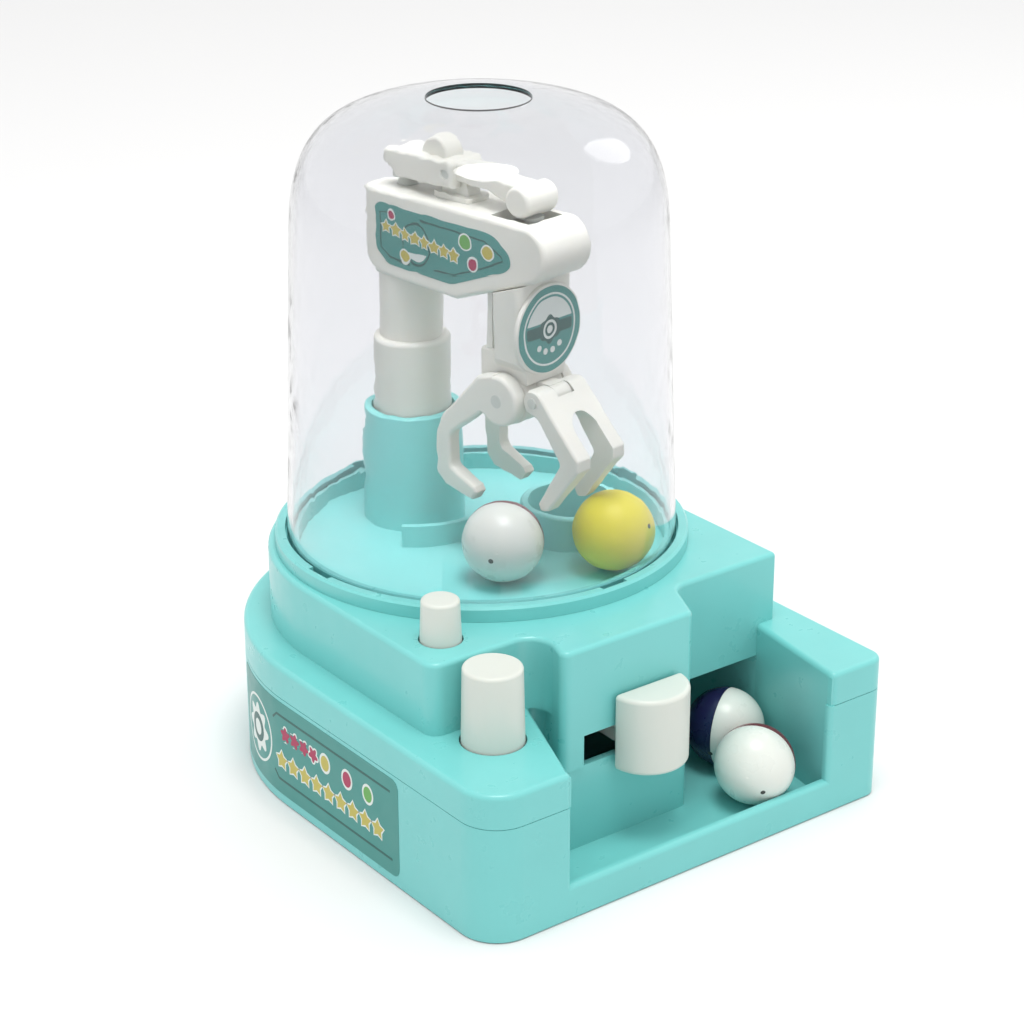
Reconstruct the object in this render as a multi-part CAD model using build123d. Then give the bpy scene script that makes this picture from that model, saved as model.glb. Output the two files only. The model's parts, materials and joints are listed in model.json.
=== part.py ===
"""Small manual claw machine: casing, clear dome, swinging arm, claw, buttons and capsules."""
import math
import os

from build123d import *

# ---------------------------------------------------------------- driving dimensions (mm)
WALL = 2.2                  # casing wall
LEFT, RIGHT, FRONT = -74.9, 71.5, -103.6
BACK_CENTRE_Y = -2.7        # centre of the round back
Z_FOOT, Z_PLATE, Z_INSIDE, Z_TRAY = 0.2, 1.0, 2.6, 4.2
Z_SILL, Z_WALLTOP, Z_SEAM = 10.5, 30.3, 35.2
Z_LEDGE, Z_TIER = 45.6, 67.7
TIER_LEFT, TIER_RIGHT, TIER_FRONT, TIER_R = -65.0, 62.0, -64.8, 65.0
HOUSE_Y = -80.9             # front face of the lever housing
TRAY_LEFT, TRAY_RIGHT = -46.2, 50.2

DOME_R, DOME_T, DOME_Z0, DOME_TOP, HOLE_R = 59.2, 1.5, 69.0, 203.5, 15.3
RING_OUT, RING_LIP, RING_IN, Z_LIP = 62.7, 59.7, 57.3, 72.2
DECK_R, Z_FLOOR = 55.5, 66.5

AX, AY = -5.0, 28.5         # column axis
ARM_DEG = 9.5               # arm heading from the front, towards +X
TOWER_R0, TOWER_R1, TOWER_BORE, Z_TOWER = 15.8, 14.9, 12.6, 103.0
SLEEVE_R, SLEEVE_BORE, Z_SLEEVE = 11.8, 9.65, 126.0
TUBE_R, ROD_R = 9.6, 2.9

CUP_X, CUP_Y, CUP_OUT, CUP_IN, Z_CUP = 24.7, -13.2, 16.0, 13.6, 77.3
FENCE_R, FENCE_T, Z_FENCE = 27.2, 2.0, 73.3

BIG_X, BIG_Y, BIG_R, BIG_HOLE, Z_BIG = -51.6, -74.9, 9.0, 9.5, 68.3
SMALL_X, SMALL_Y, SMALL_R, SMALL_HOLE, Z_SMALL = -52.4, -51.7, 6.0, 6.4, 80.1

KNOB_X, KNOB_R, KNOB_Z0, KNOB_Z1 = -2.0, 12.3, 26.8, 50.5
SLOT_X0, SLOT_X1, SLOT_Z1 = -24.2, 5.4, 40.2
SWING_PIVOT_Y, CRANK_R, KNOB_PIN_Y = -20.5, 20.0, -75.0

HEAD_V, NOSE_S, NOSE_Z, NOSE_R = 10.3, 55.7, 164.2, 8.4
REAR_S, REAR_Z = 47.8, 119.3      # rear jaw pivot
FRONT_S, FRONT_Z = 59.5, 121.0    # front jaw pivot
ROCK_S, ROCK_Z = 22.0, 181.0      # claw rocker pivot
PLUNGER_S = 50.0

BALL_R = 12.0
# centre of each capsule and the way its first half faces
BALLS = {
    "ball_a": ((-13.2, -28.3, Z_FLOOR + BALL_R + 0.3), (0.712, 0.696, -0.086)),
    "ball_b": ((17.45, -41.35, Z_FLOOR + BALL_R + 0.3), (0.604, 0.751, -0.265)),
    "ball_c": ((32.6, -90.4, Z_TRAY + BALL_R + 0.3), (0.790, 0.599, -0.122)),
    "ball_d": ((41.2, -67.4, Z_TRAY + BALL_R + 0.3), (-0.450, 0.893, -0.015)),
}


# ---------------------------------------------------------------- small helpers
def cyl(r, z0, z1, x=0.0, y=0.0):
    return Pos(x, y, (z0 + z1) / 2) * Cylinder(r, z1 - z0)


def cone(r0, r1, z0, z1, x=0.0, y=0.0):
    return Pos(x, y, (z0 + z1) / 2) * Cone(r0, r1, z1 - z0)


def tube(ro, ri, z0, z1, x=0.0, y=0.0):
    return cyl(ro, z0, z1, x, y) - cyl(ri, z0 - 1, z1 + 1, x, y)


def box(x0, x1, y0, y1, z0, z1):
    return Pos((x0 + x1) / 2, (y0 + y1) / 2, (z0 + z1) / 2) * Box(x1 - x0, y1 - y0, z1 - z0)


def poly(points):
    return make_face(Polyline(*points, close=True))


def prism(points, z0, z1):
    return extrude(Pos(0, 0, z0) * poly(points), z1 - z0)


def side_prism(points, v0, v1):
    """Prism of a profile given as (along arm, height), between two widths across the arm."""
    face = Plane.XZ * poly(points)
    return extrude(Pos(0, v0, 0) * face, v1 - v0, dir=(0, 1, 0))


def side_cyl(r, s, z, v0, v1):
    return Pos(s, (v0 + v1) / 2, z) * Rot(90, 0, 0) * Cylinder(r, v1 - v0)


def on_arm(shape):
    return Pos(AX, AY, 0) * Rot(0, 0, ARM_DEG - 90) * shape


def soft(body, half, radius, limit=1000.0):
    """Rounds the rims that lie at a given distance either side of the arm's middle plane."""
    rims = body.edges().filter_by(lambda e: abs(abs((e @ 0.5).Y) - half) < 0.01 and (e @ 0.5).X < limit)
    return fillet(rims, radius)


def heading(x, y):
    """Direction and length in plan from a button to the column axis."""
    dx, dy = AX - x, AY - y
    return math.degrees(math.atan2(dy, dx)), math.hypot(dx, dy)


def footprint(off=0.0, r_left=12.0, r_right=5.0):
    """Casing outline: round back, straight sides, rounded front corners."""
    x0, x1, y0 = LEFT - off, RIGHT + off, FRONT - off
    ra, rb = max(r_left + off, 0.8), max(r_right + off, 0.8)
    mid, rad = (x0 + x1) / 2, (x1 - x0) / 2
    k = math.sqrt(0.5)
    line = Polyline((x0 + ra, y0), (x1 - rb, y0))
    c1 = ThreePointArc((x1 - rb, y0), (x1 - rb + rb * k, y0 + rb - rb * k), (x1, y0 + rb))
    s1 = Line((x1, y0 + rb), (x1, BACK_CENTRE_Y))
    back = ThreePointArc((x1, BACK_CENTRE_Y), (mid, BACK_CENTRE_Y + rad), (x0, BACK_CENTRE_Y))
    s2 = Line((x0, BACK_CENTRE_Y), (x0, y0 + ra))
    c2 = ThreePointArc((x0, y0 + ra), (x0 + ra - ra * k, y0 + ra - ra * k), (x0 + ra, y0))
    return make_face([line, c1, s1, back, s2, c2])


def slab(face, z0, z1):
    return extrude(Pos(0, 0, z0) * face, z1 - z0)


def rounded(face, corners):
    """Rounds the corners of a flat face that lie at the given points."""
    for x, y, r in corners:
        spot = [v for v in face.vertices() if math.hypot(v.X - x, v.Y - y) < 0.01]
        face = fillet(spot, r)
    return face


def tray_face():
    """Open area of the tray and of the way the capsules come out."""
    face = poly([(-46.2, -101.2), (-32.0, TIER_FRONT), (-27.0, TIER_FRONT), (-31.8, HOUSE_Y + 0.8), (14.9, HOUSE_Y + 0.8),
                 (21.5, TIER_FRONT), (10.6, -32), (10.6, 2.4), (38.6, 2.4), (53.9, -33), (55.2, TIER_FRONT),
                 (TRAY_RIGHT, -101.2)])
    return rounded(face, ((-27.0, TIER_FRONT, 3.4), (-31.8, HOUSE_Y + 0.8, 2.5), (14.9, HOUSE_Y + 0.8, 2.5)))


def tier_face():
    """Raised tier under the dome."""
    left = Pos((TIER_LEFT + 5) / 2, TIER_FRONT / 2) * Rectangle(5 - TIER_LEFT, -TIER_FRONT)
    left = fillet(left.vertices().group_by(Axis.X)[0].group_by(Axis.Y)[0], 4.4)
    right = Pos(TIER_RIGHT / 2, TIER_FRONT / 2) * Rectangle(TIER_RIGHT, -TIER_FRONT)
    right = rounded(right, ((TIER_RIGHT, TIER_FRONT, 1.0),))
    return left + right + Circle(TIER_R)


def house_face(left_r=3.4, right_r=5.0):
    """Lever housing, skewed in plan, with round corners where it meets the tier."""
    back = TIER_FRONT + 6
    plan = poly([(-45, back), (-45, TIER_FRONT), (-27.0, TIER_FRONT), (-32.1, HOUSE_Y), (15.2, HOUSE_Y),
                 (22.4, TIER_FRONT), (45, TIER_FRONT), (45, back)])
    plan = rounded(plan, ((-27.0, TIER_FRONT, left_r), (-32.1, HOUSE_Y, 2.5), (15.2, HOUSE_Y, 2.5),
                          (22.4, TIER_FRONT, right_r)))
    ahead = Pos(-5, TIER_FRONT - 15) * Rectangle(66, 30)
    return (plan & ahead) + Pos(-2.2, TIER_FRONT + 3) * Rectangle(49.2, 6)


# ---------------------------------------------------------------- casing
def lower_base():
    shell = slab(footprint(), Z_FOOT, Z_SEAM) - slab(footprint(-WALL), Z_FOOT - 1, Z_SEAM + 1)
    opening = tray_face()
    around = offset(opening, WALL, kind=Kind.INTERSECTION) & footprint(-0.6)
    walls = slab(around, Z_INSIDE, Z_SEAM) - slab(opening, Z_TRAY, Z_SEAM + 1)
    body = shell + walls
    body = body.clean()
    body -= box(TRAY_LEFT, TRAY_RIGHT - 0.6, FRONT - 3, -101.0, Z_SILL, Z_SEAM + 1)
    body -= slab(offset(house_face(), 0.05), Z_WALLTOP, Z_SEAM + 1)
    body = fillet(body.edges().filter_by(around_mouth), 1.5)
    body += side_slope()
    body += shelf(24.6, 27.0, BIG_Y - 9, BIG_Y + 9, BIG_X, BIG_Y, 3.3)
    body += shelf(31.0, 33.4, SMALL_Y - 8, SMALL_Y + 8, SMALL_X, SMALL_Y, 2.2)
    return body


def around_mouth(edge):
    """True for the outer edges of the tray's open front."""
    spot = edge @ 0.5
    wide = TRAY_LEFT - 1 < spot.X < TRAY_RIGHT + 1
    return wide and spot.Y < FRONT + 0.01 and Z_SILL - 0.01 < spot.Z < Z_SEAM - 1


BIG_SHARE, SMALL_SHARE = 0.6, 0.624      # lever pins, share of the way from button to column
SCREWS = ((-62.0, -91.0), (64.0, -92.0), (-50.0, 40.0), (47.0, 41.0))


def side_slope():
    """Ramp below the cup that rolls a capsule forward into the tray."""
    profile = Plane.YZ * poly([(-58, Z_TRAY - 0.4), (2.6, Z_TRAY - 0.4), (2.6, 13.0), (-6, 11.5)])
    ramp = extrude(Pos(9.5, 0, 0) * profile, 45, dir=(1, 0, 0))
    return ramp & slab(offset(tray_face(), 0.6, kind=Kind.INTERSECTION), 0, 40)


def shelf(z0, z1, y0, y1, x, y, r):
    """Spring seat between the side wall and the tray wall."""
    plate = slab(footprint(-WALL / 2), z0, z1) & box(LEFT, -33, y0, y1, z0, z1)
    plate -= slab(offset(tray_face(), WALL / 2, kind=Kind.INTERSECTION), z0 - 1, z1 + 1)
    return plate - cyl(r, z0 - 1, z1 + 1, x, y)


def pedestal():
    """Bearing that carries the swinging sleeve, open towards the two levers."""
    ring = tube(14.5, 10.2, Z_PLATE + 0.5, 37.6, AX, AY)
    window = Pos(AX, AY, 0) * Rot(0, 0, 243) * box(0, 30, -9.5, 9.5, 0, 31.0)
    return ring - window


def lever_ears(x, y, share, z, gap):
    """Two upright ears holding a lever pin, share of the way from the button to the column."""
    ang, length = heading(x, y)
    place = Pos(x, y, 0) * Rot(0, 0, ang)
    at = length * share
    ears = box(at - 4, at + 4, gap, gap + 2.2, Z_PLATE + 0.5, z + 4)
    ears += box(at - 4, at + 4, -gap - 2.2, -gap, Z_PLATE + 0.5, z + 4)
    ears -= Pos(at, 0, z) * Rot(90, 0, 0) * Cylinder(1.52, 40)
    return place * ears


def upper_cover():
    """Cover with the ledges beside the tray, the tier under the dome and the lever housing."""
    open_low = slab(tray_cut(), Z_SEAM - 1, Z_LEDGE + 1)
    low = slab(rounded(footprint() - tray_cut(), LEDGE_CORNERS), Z_SEAM, Z_LEDGE)
    low = fillet(low.edges().filter_by(lambda e: abs(e.center().Z - Z_LEDGE) < 0.01), 1.5)
    tier = slab((tier_face() + house_face(7.0, 5.0)).clean(), Z_LEDGE - WALL, Z_TIER)
    tier = fillet(tier.edges().filter_by(lambda e: abs(e.center().Z - Z_TIER) < 0.01), 1.4)
    house = slab(house_face(), Z_WALLTOP, Z_LEDGE)
    house -= seam_groove(house_face())
    low -= slab(offset(footprint(), -WALL), Z_SEAM - 1, Z_LEDGE - WALL)
    skirt = offset(tray_cut(), WALL, kind=Kind.INTERSECTION) & footprint(-0.6)
    low += slab(skirt, Z_SEAM, Z_LEDGE - 1.4) - open_low
    inside = slab(offset(tier_face(), -WALL), Z_SEAM - 1, Z_TIER - WALL)
    inside += slab(offset(house_face(), -WALL), Z_WALLTOP - 1, Z_TIER - WALL)
    tier -= slab(tray_cut(), Z_SEAM - 10, Z_LEDGE - 0.01)
    body = low + tier + house - inside
    body -= seam_groove(footprint())
    lintel = box(14, TIER_RIGHT - 0.7, TIER_FRONT, TIER_FRONT + WALL, Z_SEAM, Z_LEDGE + 1)
    body += lintel - slab(offset(house_face(), -0.5), 0, 90)
    body -= cyl(60.5, Z_TIER - 5, Z_TIER + 2)
    body -= cyl(BIG_HOLE, Z_LEDGE - 5, Z_LEDGE + 2, BIG_X, BIG_Y)
    body -= cyl(SMALL_HOLE, Z_TIER - 5, Z_TIER + 2, SMALL_X, SMALL_Y)
    body -= box(SLOT_X0, SLOT_X1, HOUSE_Y - 1, HOUSE_Y + 4, Z_WALLTOP - 1, SLOT_Z1)
    body -= box(-60, 60, TIER_FRONT - 0.05, TIER_FRONT + 8, Z_SEAM - 8, Z_SEAM)
    for x, y in SCREWS:
        body += cyl(3.6, Z_INSIDE - 0.2, Z_LEDGE - 1, x, y)
        body -= cyl(1.4, Z_INSIDE - 1, 24, x, y)
    return body


LEDGE_CORNERS = ((TRAY_LEFT, FRONT, 2.0), (TRAY_RIGHT, FRONT, 2.0))


def seam_groove(face):
    """Shallow groove where the cover meets the lower casing."""
    return slab(offset(face, 1.0), Z_SEAM - 0.01, Z_SEAM + 0.22) - slab(offset(face, -0.35), 0, 90)


def tray_cut():
    """Area left open above the tray by the upper cover."""
    face = poly([(TRAY_LEFT, FRONT - 3), (TRAY_LEFT, -101.2), (-32.0, TIER_FRONT), (-27.0, TIER_FRONT),
                 (-32.1, HOUSE_Y), (15.2, HOUSE_Y), (22.4, TIER_FRONT), (55.2, TIER_FRONT),
                 (TRAY_RIGHT, -101.2), (TRAY_RIGHT, FRONT - 3)])
    return rounded(face, ((-27.0, TIER_FRONT, 3.4), (-32.1, HOUSE_Y, 2.5), (15.2, HOUSE_Y, 2.5)))


def bottom_plate():
    plate = slab(footprint(-WALL - 0.1), Z_PLATE, Z_INSIDE - 0.25)
    plate += pedestal()
    plate += lever_ears(BIG_X, BIG_Y, BIG_SHARE, 20.0, 8.4)
    plate += lever_ears(SMALL_X, SMALL_Y, SMALL_SHARE, 10.0, 3.8)
    plate += cyl(6.0, Z_PLATE + 0.5, 32.3, AX, SWING_PIVOT_Y) + cyl(2.5, 32, 38.4, AX, SWING_PIVOT_Y)
    for x, y in SCREWS:
        plate -= cyl(1.6, 0, 4, x, y)
        plate -= cyl(3.0, 0, Z_PLATE + 0.7, x, y)
    for x, y in FEET:
        plate -= cyl(5.1, 0, Z_PLATE + 0.4, x, y)
    return plate


FEET = ((-57.0, -84.0), (57.0, -84.0), (-40.0, 46.0), (38.0, 46.0), (0.0, 0.0))


def base_screws():
    out = []
    for x, y in SCREWS:
        body = cyl(2.7, Z_PLATE + 0.05, Z_PLATE + 0.65, x, y) + cyl(1.35, Z_PLATE + 0.3, 20, x, y)
        body -= box(x - 2, x + 2, y - 0.35, y + 0.35, 0, Z_PLATE + 0.3)
        body -= box(x - 0.35, x + 0.35, y - 2, y + 2, 0, Z_PLATE + 0.3)
        out.append(body)
    return Compound(out)


def feet():
    out = []
    for x, y in FEET:
        pad = cyl(5.0, 0, Z_PLATE + 0.38, x, y)
        out.append(fillet(pad.edges().group_by(Axis.Z)[0], 0.4))
    return Compound(out)


# ---------------------------------------------------------------- play deck, collar and dome
def play_deck():
    deck = cyl(DECK_R, Z_FLOOR - 2.0, Z_FLOOR)
    deck += cone(TOWER_R0, TOWER_R1, Z_FLOOR - 0.5, Z_TOWER, AX, AY)
    rim = deck.edges().filter_by(lambda e: abs(e.center().Z - Z_TOWER) < 0.01)
    deck = fillet(rim, 0.6)
    deck += tube(16.5, TOWER_BORE, 56.0, Z_FLOOR - 0.5, AX, AY)
    cup = cyl(CUP_OUT, 52.0, Z_CUP, CUP_X, CUP_Y)
    cup = fillet(cup.edges().group_by(Axis.Z)[-1], 0.8)
    deck += cup
    deck += fence()
    deck -= cyl(TOWER_BORE, 40, 120, AX, AY)
    deck -= cyl(CUP_IN, 40, 90, CUP_X, CUP_Y)
    return deck


def fence():
    """Low rib that keeps capsules off the tower and leads to the cup."""
    ring = tube(FENCE_R, FENCE_R - FENCE_T, Z_FLOOR - 0.5, Z_FENCE)
    sector = prism([(0, 0), (-60, -64), (60, -130), (30, -44)], 0, 90)
    arc = Pos(AX, AY, 0) * (ring & sector)
    ang = math.degrees(math.atan2(CUP_Y - AY, CUP_X - AX))
    link = Pos(AX, AY, 0) * Rot(0, 0, ang) * box(FENCE_R - 1.0, 36.5, -1.0, 1.0, Z_FLOOR - 0.5, Z_FENCE)
    return arc + link


def collar_ring():
    profile = Plane.XZ * poly([
        (55.6, 64.4), (60.2, 64.4), (60.2, Z_TIER + 0.05), (RING_OUT, Z_TIER + 0.05),
        (RING_OUT, Z_LIP - 0.7), (RING_OUT - 0.7, Z_LIP), (RING_LIP, Z_LIP), (RING_LIP, 70.8),
        (61.2, 70.8), (61.2, 68.8), (RING_IN, 68.8), (RING_IN, 71.3), (RING_IN - 0.4, 71.7), (55.6, 71.7)])
    ring = revolve(profile, Axis.Z)
    for k in range(4):
        ring -= Rot(0, 0, -177.5 + 90 * k) * box(58, 61.2, -4.6, 4.6, 69.5, 75)
    return ring


def dome_profile(inset):
    """Half outline of the dome, from the rim to the hole in the top."""
    r = DOME_R - inset
    side = Spline((r, DOME_Z0), (57.9 - inset, 100), (56.6 - inset, 135), (55.2 - inset, 168))
    shoulder = Spline((55.2 - inset, 168), (53.4 - inset, 180.5 - inset * 0.2),
                      (49.0 - inset * 0.8, 190.4 - inset * 0.6), (41.5 - inset * 0.5, 197.2 - inset * 0.85),
                      (28.0, 201.8 - inset), (HOLE_R, DOME_TOP - inset), tangents=[side % 1, (-1, 0.10)])
    return side, shoulder


def dome():
    outer = dome_profile(0.0)
    inner = dome_profile(DOME_T)
    rim = Line(inner[0] @ 0, outer[0] @ 0)
    lip = Line(outer[1] @ 1, inner[1] @ 1)
    face = Plane.XZ * make_face([rim, *outer, lip, *inner])
    shell = revolve(face, Axis.Z)
    for k in range(4):
        lug = tube(60.9, 58.5, DOME_Z0, 70.5) & Rot(0, 0, -163.5 + 90 * k) * box(55, 65, -3.6, 3.6, 60, 80)
        shell += lug
    return shell


# ---------------------------------------------------------------- column and arm
def column_sleeve():
    body = cyl(SLEEVE_R, 42, Z_SLEEVE, AX, AY)
    body = fillet(body.edges().group_by(Axis.Z)[-1], 1.6)
    body += cyl(12.55, 57.0, 68.0, AX, AY)
    return body - cyl(SLEEVE_BORE, 30, 140, AX, AY)


def crank():
    plate = cyl(17.0, 38.0, 41.95, AX, AY)
    arm = box(-CRANK_R - 4.5, 0, -5, 5, 38.0, 41.95)
    arm = fillet(arm.edges().filter_by(Axis.Z).group_by(Axis.X)[0], 4.4)
    plate += Pos(AX, AY, 0) * Rot(0, 0, 90) * arm
    plate += cyl(2.0, 32.4, 38.5, AX, AY - CRANK_R)
    return plate - cyl(SLEEVE_BORE, 30, 50, AX, AY)


def lift_tube():
    body = cyl(TUBE_R, 23.9, 158.0, AX, AY)
    return body - cyl(ROD_R + 0.3, 20, 170, AX, AY)


def arm_head():
    """Hollow beam on the lifting tube, with a round nose and a slot for the rocker's end."""
    body = side_prism([(-11, 152.5), (-4.5, 146.1), (29, 145.3), (58.2, 156.2), (NOSE_S, NOSE_Z + NOSE_R),
                       (-11, 172.6)], -HEAD_V, HEAD_V)
    body += side_cyl(NOSE_R, NOSE_S, NOSE_Z, -HEAD_V, HEAD_V)
    rear = body.edges().filter_by(Axis.Z).group_by(Axis.X)[0]
    body = fillet(rear, 5.0)
    rims = body.edges().filter_by(lambda e: abs(abs(e.center().Y) - HEAD_V) < 0.01 and e.length > 1)
    body = fillet(rims, 1.6)
    body -= side_prism([(9.5, 149), (29, 147.6), (56, 158), (56, 168.5), (9.5, 170.2)], -8.3, 8.3)
    body -= cyl(ROD_R + 0.3, 140, 180)
    body -= cyl(TUBE_R, 140, 158.0)
    body -= cyl(2.4, 140, 180, PLUNGER_S, 0)
    body -= box(40.8, 55.4, -7.3, 7.3, 166, 175)
    return on_arm(body)


def rocker_bracket():
    """Lug on top of the arm head that holds the rocker pin."""
    outline = rounded(poly([(16.6, 174), (27.4, 174), (25.2, 183.2), (18.8, 183.2)]),
                      ((25.2, 183.2, 2.4), (18.8, 183.2, 2.4)))
    body = box(14.5, 29.5, -4.6, 4.6, 172.65, 174.2)
    body = fillet(body.edges().filter_by(Axis.Z), 1.5)
    body += extrude(Pos(0, -2.6, 0) * (Plane.XZ * outline), 5.2, dir=(0, 1, 0))
    body -= side_cyl(1.75, ROCK_S, ROCK_Z, -10, 10)
    return on_arm(body)


def rocker_pin():
    return on_arm(side_cyl(1.7, ROCK_S, ROCK_Z, -6.6, 6.6))


def claw_rod():
    """Push rod up the middle of the column, with a crosshead under the rocker."""
    body = cyl(ROD_R, 12.8, 176.0, AX, AY)
    head = cyl(4.6, 175.9, 178.6, AX, AY)
    return body + fillet(head.edges().group_by(Axis.Z)[-1], 0.8)


def side_plate(points, corners, half):
    """Plate across the arm from a profile with rounded corners, between -half and +half."""
    return extrude(Plane.XZ * rounded(poly(points), corners), half, both=True)


def claw_rocker():
    """Wide rocker from the push rod to the plunger: hollow block, hump, neck and end barrel."""
    block = side_plate([(-3.6, 184.8), (-3.6, 180.6), (2.5, 176.4), (24.5, 176.8), (24.5, 185.2)],
                       ((-3.6, 184.8, 2.0), (-3.6, 180.6, 1.5), (2.5, 176.4, 3.0), (24.5, 185.2, 2.0)), 7.0)
    neck = side_plate([(20, 184.6), (33, 184.4), (41, 182.4), (50, 181.8), (50, 174.2), (43, 176.2), (36, 178.2),
                       (20, 178.6)],
                      ((33, 184.4, 9.0), (41, 182.4, 7.0), (43, 176.2, 8.0), (36, 178.2, 8.0)), 4.6)
    body = soft(block, 7.0, 1.2) + soft(neck, 4.6, 1.0)
    body += soft(side_cyl(5.4, 14.5, 184.7, -3.6, 3.6), 3.6, 1.0)
    body += soft(side_cyl(4.6, PLUNGER_S, 177.6, -6.8, 6.8), 6.8, 1.2)
    body -= box(-8, 16, -5.0, 5.0, 170, 179.4)
    body -= box(15.6, 28.4, -3.0, 3.0, 170, 184.0)
    body -= side_cyl(1.75, ROCK_S, ROCK_Z, -9, 9)
    return on_arm(body)


def plunger():
    """Push pin from the rocker's end down to the crossbar between the jaws."""
    body = cyl(2.3, 127.0, 172.0, PLUNGER_S, 0) + cyl(3.3, 171.8, 172.6, PLUNGER_S, 0)
    body += box(PLUNGER_S - 2.4, PLUNGER_S + 2.4, -4.4, 4.4, 126.6, 129.6)
    return on_arm(body)


def head_solid(off):
    body = side_prism([(-11, 152.5 - off), (-4.5, 146.1 - off), (29, 145.3 - off), (58.6, 156.2 - off),
                       (70, 164), (70, 180), (-11, 180)], -20, 20)
    return body + side_cyl(NOSE_R + off, NOSE_S, NOSE_Z, -20, 20)


def carrier():
    """Body that hangs from the nose and holds the two jaws."""
    outline = Plane.YZ * poly([(-11.6, 160), (11.6, 160), (10.6, 131.5), (8.2, 128.6), (7.8, 124.8),
                               (-7.8, 124.8), (-8.2, 128.6), (-10.6, 131.5)])
    body = extrude(Pos(43.8, 0, 0) * outline, 11.6, dir=(1, 0, 0))
    body -= head_solid(0.05)
    upright = body.edges().filter_by(lambda e: abs((e % 0.5).Z) > 0.95 and e.length > 15)
    body = fillet(upright, 2.2)
    body += soft(side_cyl(8.0, REAR_S, REAR_Z, -8.2, 8.2), 8.2, 1.2)
    body += box(50, FRONT_S, -3.0, 3.0, FRONT_Z - 3.2, FRONT_Z + 3.6) + side_cyl(3.4, FRONT_S, FRONT_Z, -3, 3)
    body -= box(PLUNGER_S - 2.8, PLUNGER_S + 2.8, -4.9, 4.9, 119.5, 131)
    body -= cyl(2.4, 115, 170, PLUNGER_S, 0)
    body -= side_cyl(2.05, REAR_S, REAR_Z, -20, 20)
    body -= side_cyl(1.55, FRONT_S, FRONT_Z, -20, 20)
    return on_arm(body)


def rear_block():
    """Guide block behind the carrier, with the plate that ties it to the head."""
    outline = rounded(poly([(36.4, 118.2), (43.75, 118.2), (43.75, 132.6), (36.4, 132.6)]), ((36.4, 132.6, 1.6),))
    body = extrude(Pos(0, -7.7, 0) * (Plane.XZ * outline), 15.4, dir=(0, 1, 0))
    body -= side_cyl(8.05, REAR_S, REAR_Z, -20, 20)
    outer = body.edges().filter_by(lambda e: abs(abs((e @ 0.5).Y) - 7.7) < 0.01 and (e @ 0.5).X < 37.5)
    body = fillet(outer, 1.0)
    body -= side_cyl(0.9, 38.4, 122.7, -20, 20)
    return on_arm(body)


def rail_plate():
    body = box(39.2, 41.2, -7.4, 7.4, 132.65, 152)
    body -= head_solid(0.05)
    body += box(39.2, 43.75, -5.4, 5.4, 140, 143)
    return on_arm(body)


def badge_boss():
    """Round boss on the front of the carrier."""
    disc = Pos(56.1, 0, 140.4) * Rot(0, 90, 0) * Cylinder(13.6, 1.3)
    disc = fillet(disc.edges().group_by(Axis.X)[-1], 0.5)
    body = disc - head_solid(0.05)
    return on_arm(body)


def badge():
    return on_arm(Pos(56.85, 0, 140.4) * Rot(0, 90, 0) * Cylinder(12.9, 0.16))


def arm_label():
    pts = [(-3.8, 168.2), (43.5, 168.2), (50.2, 164.2), (51.6, 160.6), (49.2, 158.2), (27.6, 149.6), (0.6, 150.4),
           (-3.8, 154.0)]
    face = poly(pts)
    face = fillet(face.vertices(), 1.4)
    body = extrude(Pos(0, -HEAD_V - 0.2, 0) * (Plane.XZ * face), 0.16, dir=(0, 1, 0))
    return on_arm(body)


def side_label():
    """Printed skin that wraps the left side of the lower casing, from side wall to round back."""
    skin = slab(footprint(0.2), 2.9, 34.0) - slab(footprint(0.03), 2, 35)
    outline = Pos(-16.3, 18.45) * Rectangle(91.2, 31.1)
    window = extrude(Pos(-100, 0, 0) * (Plane.YZ * fillet(outline.vertices(), 3.5)), 70, dir=(1, 0, 0))
    return skin & window


# ---------------------------------------------------------------- jaws
def jaw_front():
    """Forked front jaw: an arch across the pivot and two tapering prongs with a knee."""
    outline = rounded(poly([(57.6, 124.4), (61.5, 124.4), (77.0, 107.6), (77.0, 104.2), (65.6, 89.0),
                            (62.6, 88.2), (61.6, 90.4), (70.2, 104.8), (61.0, 116.8), (57.0, 117.6)]),
                      ((61.5, 124.4, 3.0), (77.0, 107.6, 1.2), (77.0, 104.2, 1.2), (65.6, 89.0, 1.0),
                       (62.6, 88.2, 1.0), (61.6, 90.4, 0.6), (70.2, 104.8, 2.0), (61.0, 116.8, 4.0)))
    gap = rounded(poly([(6.6, 80), (4.8, 104), (4.8, 118), (-4.8, 118), (-4.8, 104), (-6.6, 80)]),
                  ((4.8, 118, 4.6), (-4.8, 118, 4.6)))
    body = soft(extrude(Plane.XZ * outline, 10.2, both=True), 10.2, 0.9)
    body -= extrude(Plane.YZ * gap, 90, dir=(1, 0, 0))
    body += side_cyl(3.3, FRONT_S, FRONT_Z, -10.2, -3.4) + side_cyl(3.3, FRONT_S, FRONT_Z, 3.4, 10.2)
    body -= box(50, 63.45, -3.4, 3.4, 110, 130)
    body -= side_cyl(1.6, FRONT_S, FRONT_Z, -20, 20)
    return on_arm(body)


def jaw_rear_left():
    return on_arm(jaw_rear_side(-1))


def jaw_rear_right():
    return on_arm(jaw_rear_side(1))


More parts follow.
